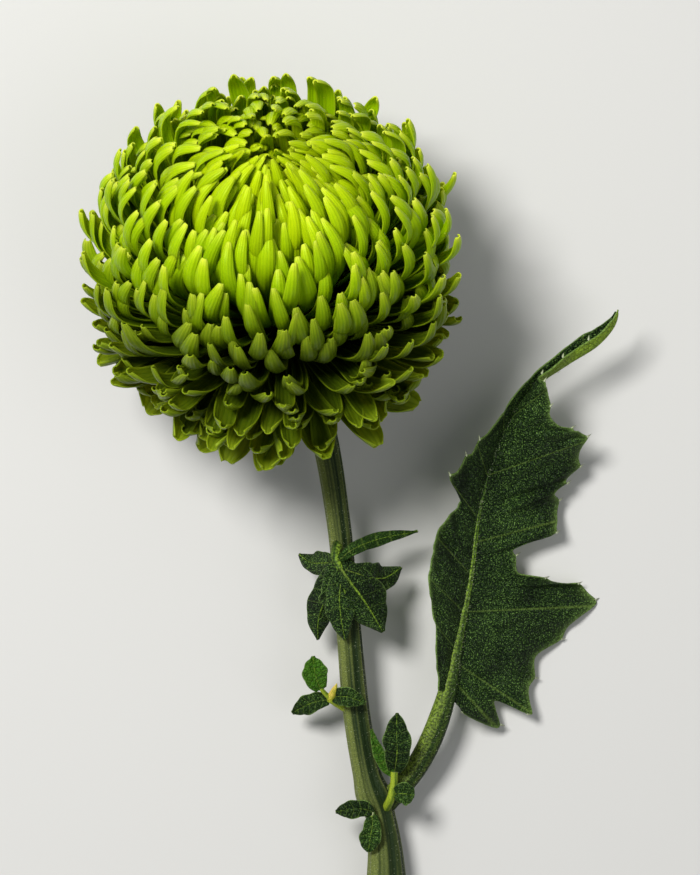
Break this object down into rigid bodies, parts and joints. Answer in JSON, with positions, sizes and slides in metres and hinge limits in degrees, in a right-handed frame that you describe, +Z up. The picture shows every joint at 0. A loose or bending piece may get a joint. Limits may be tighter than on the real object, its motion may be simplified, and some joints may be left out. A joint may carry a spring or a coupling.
{
  "type": "chrysanthemum flower",
  "caption": "Cut incurved chrysanthemum with one large globe bloom, a ribbed stem, a lobed leaf and small side shoots, lying on its side.",
  "frame": {"origin": "on the table, at the middle of the flower's footprint", "axes": "+X to the right of the bloom and over the large leaf, +Y from the cut end of the stem towards the bloom, +Z up from the table"},
  "size_m": [0.1591, 0.2786, 0.1047],
  "materials": {
    "florets": "fresh petal, soft satin",
    "bracts": "matt, finely haired",
    "stem": "ribbed, finely haired",
    "leaves": "matt, veined and finely haired"
  },
  "bodies": {
    "root": {"bloom": "florets", "involucre": "bracts", "stem": "stem", "large_leaf": "leaves", "upper_leaf": "leaves", "left_shoot": "leaves", "axil_shoot": "leaves", "lower_shoot": "leaves"}
  },
  "joints": []
}
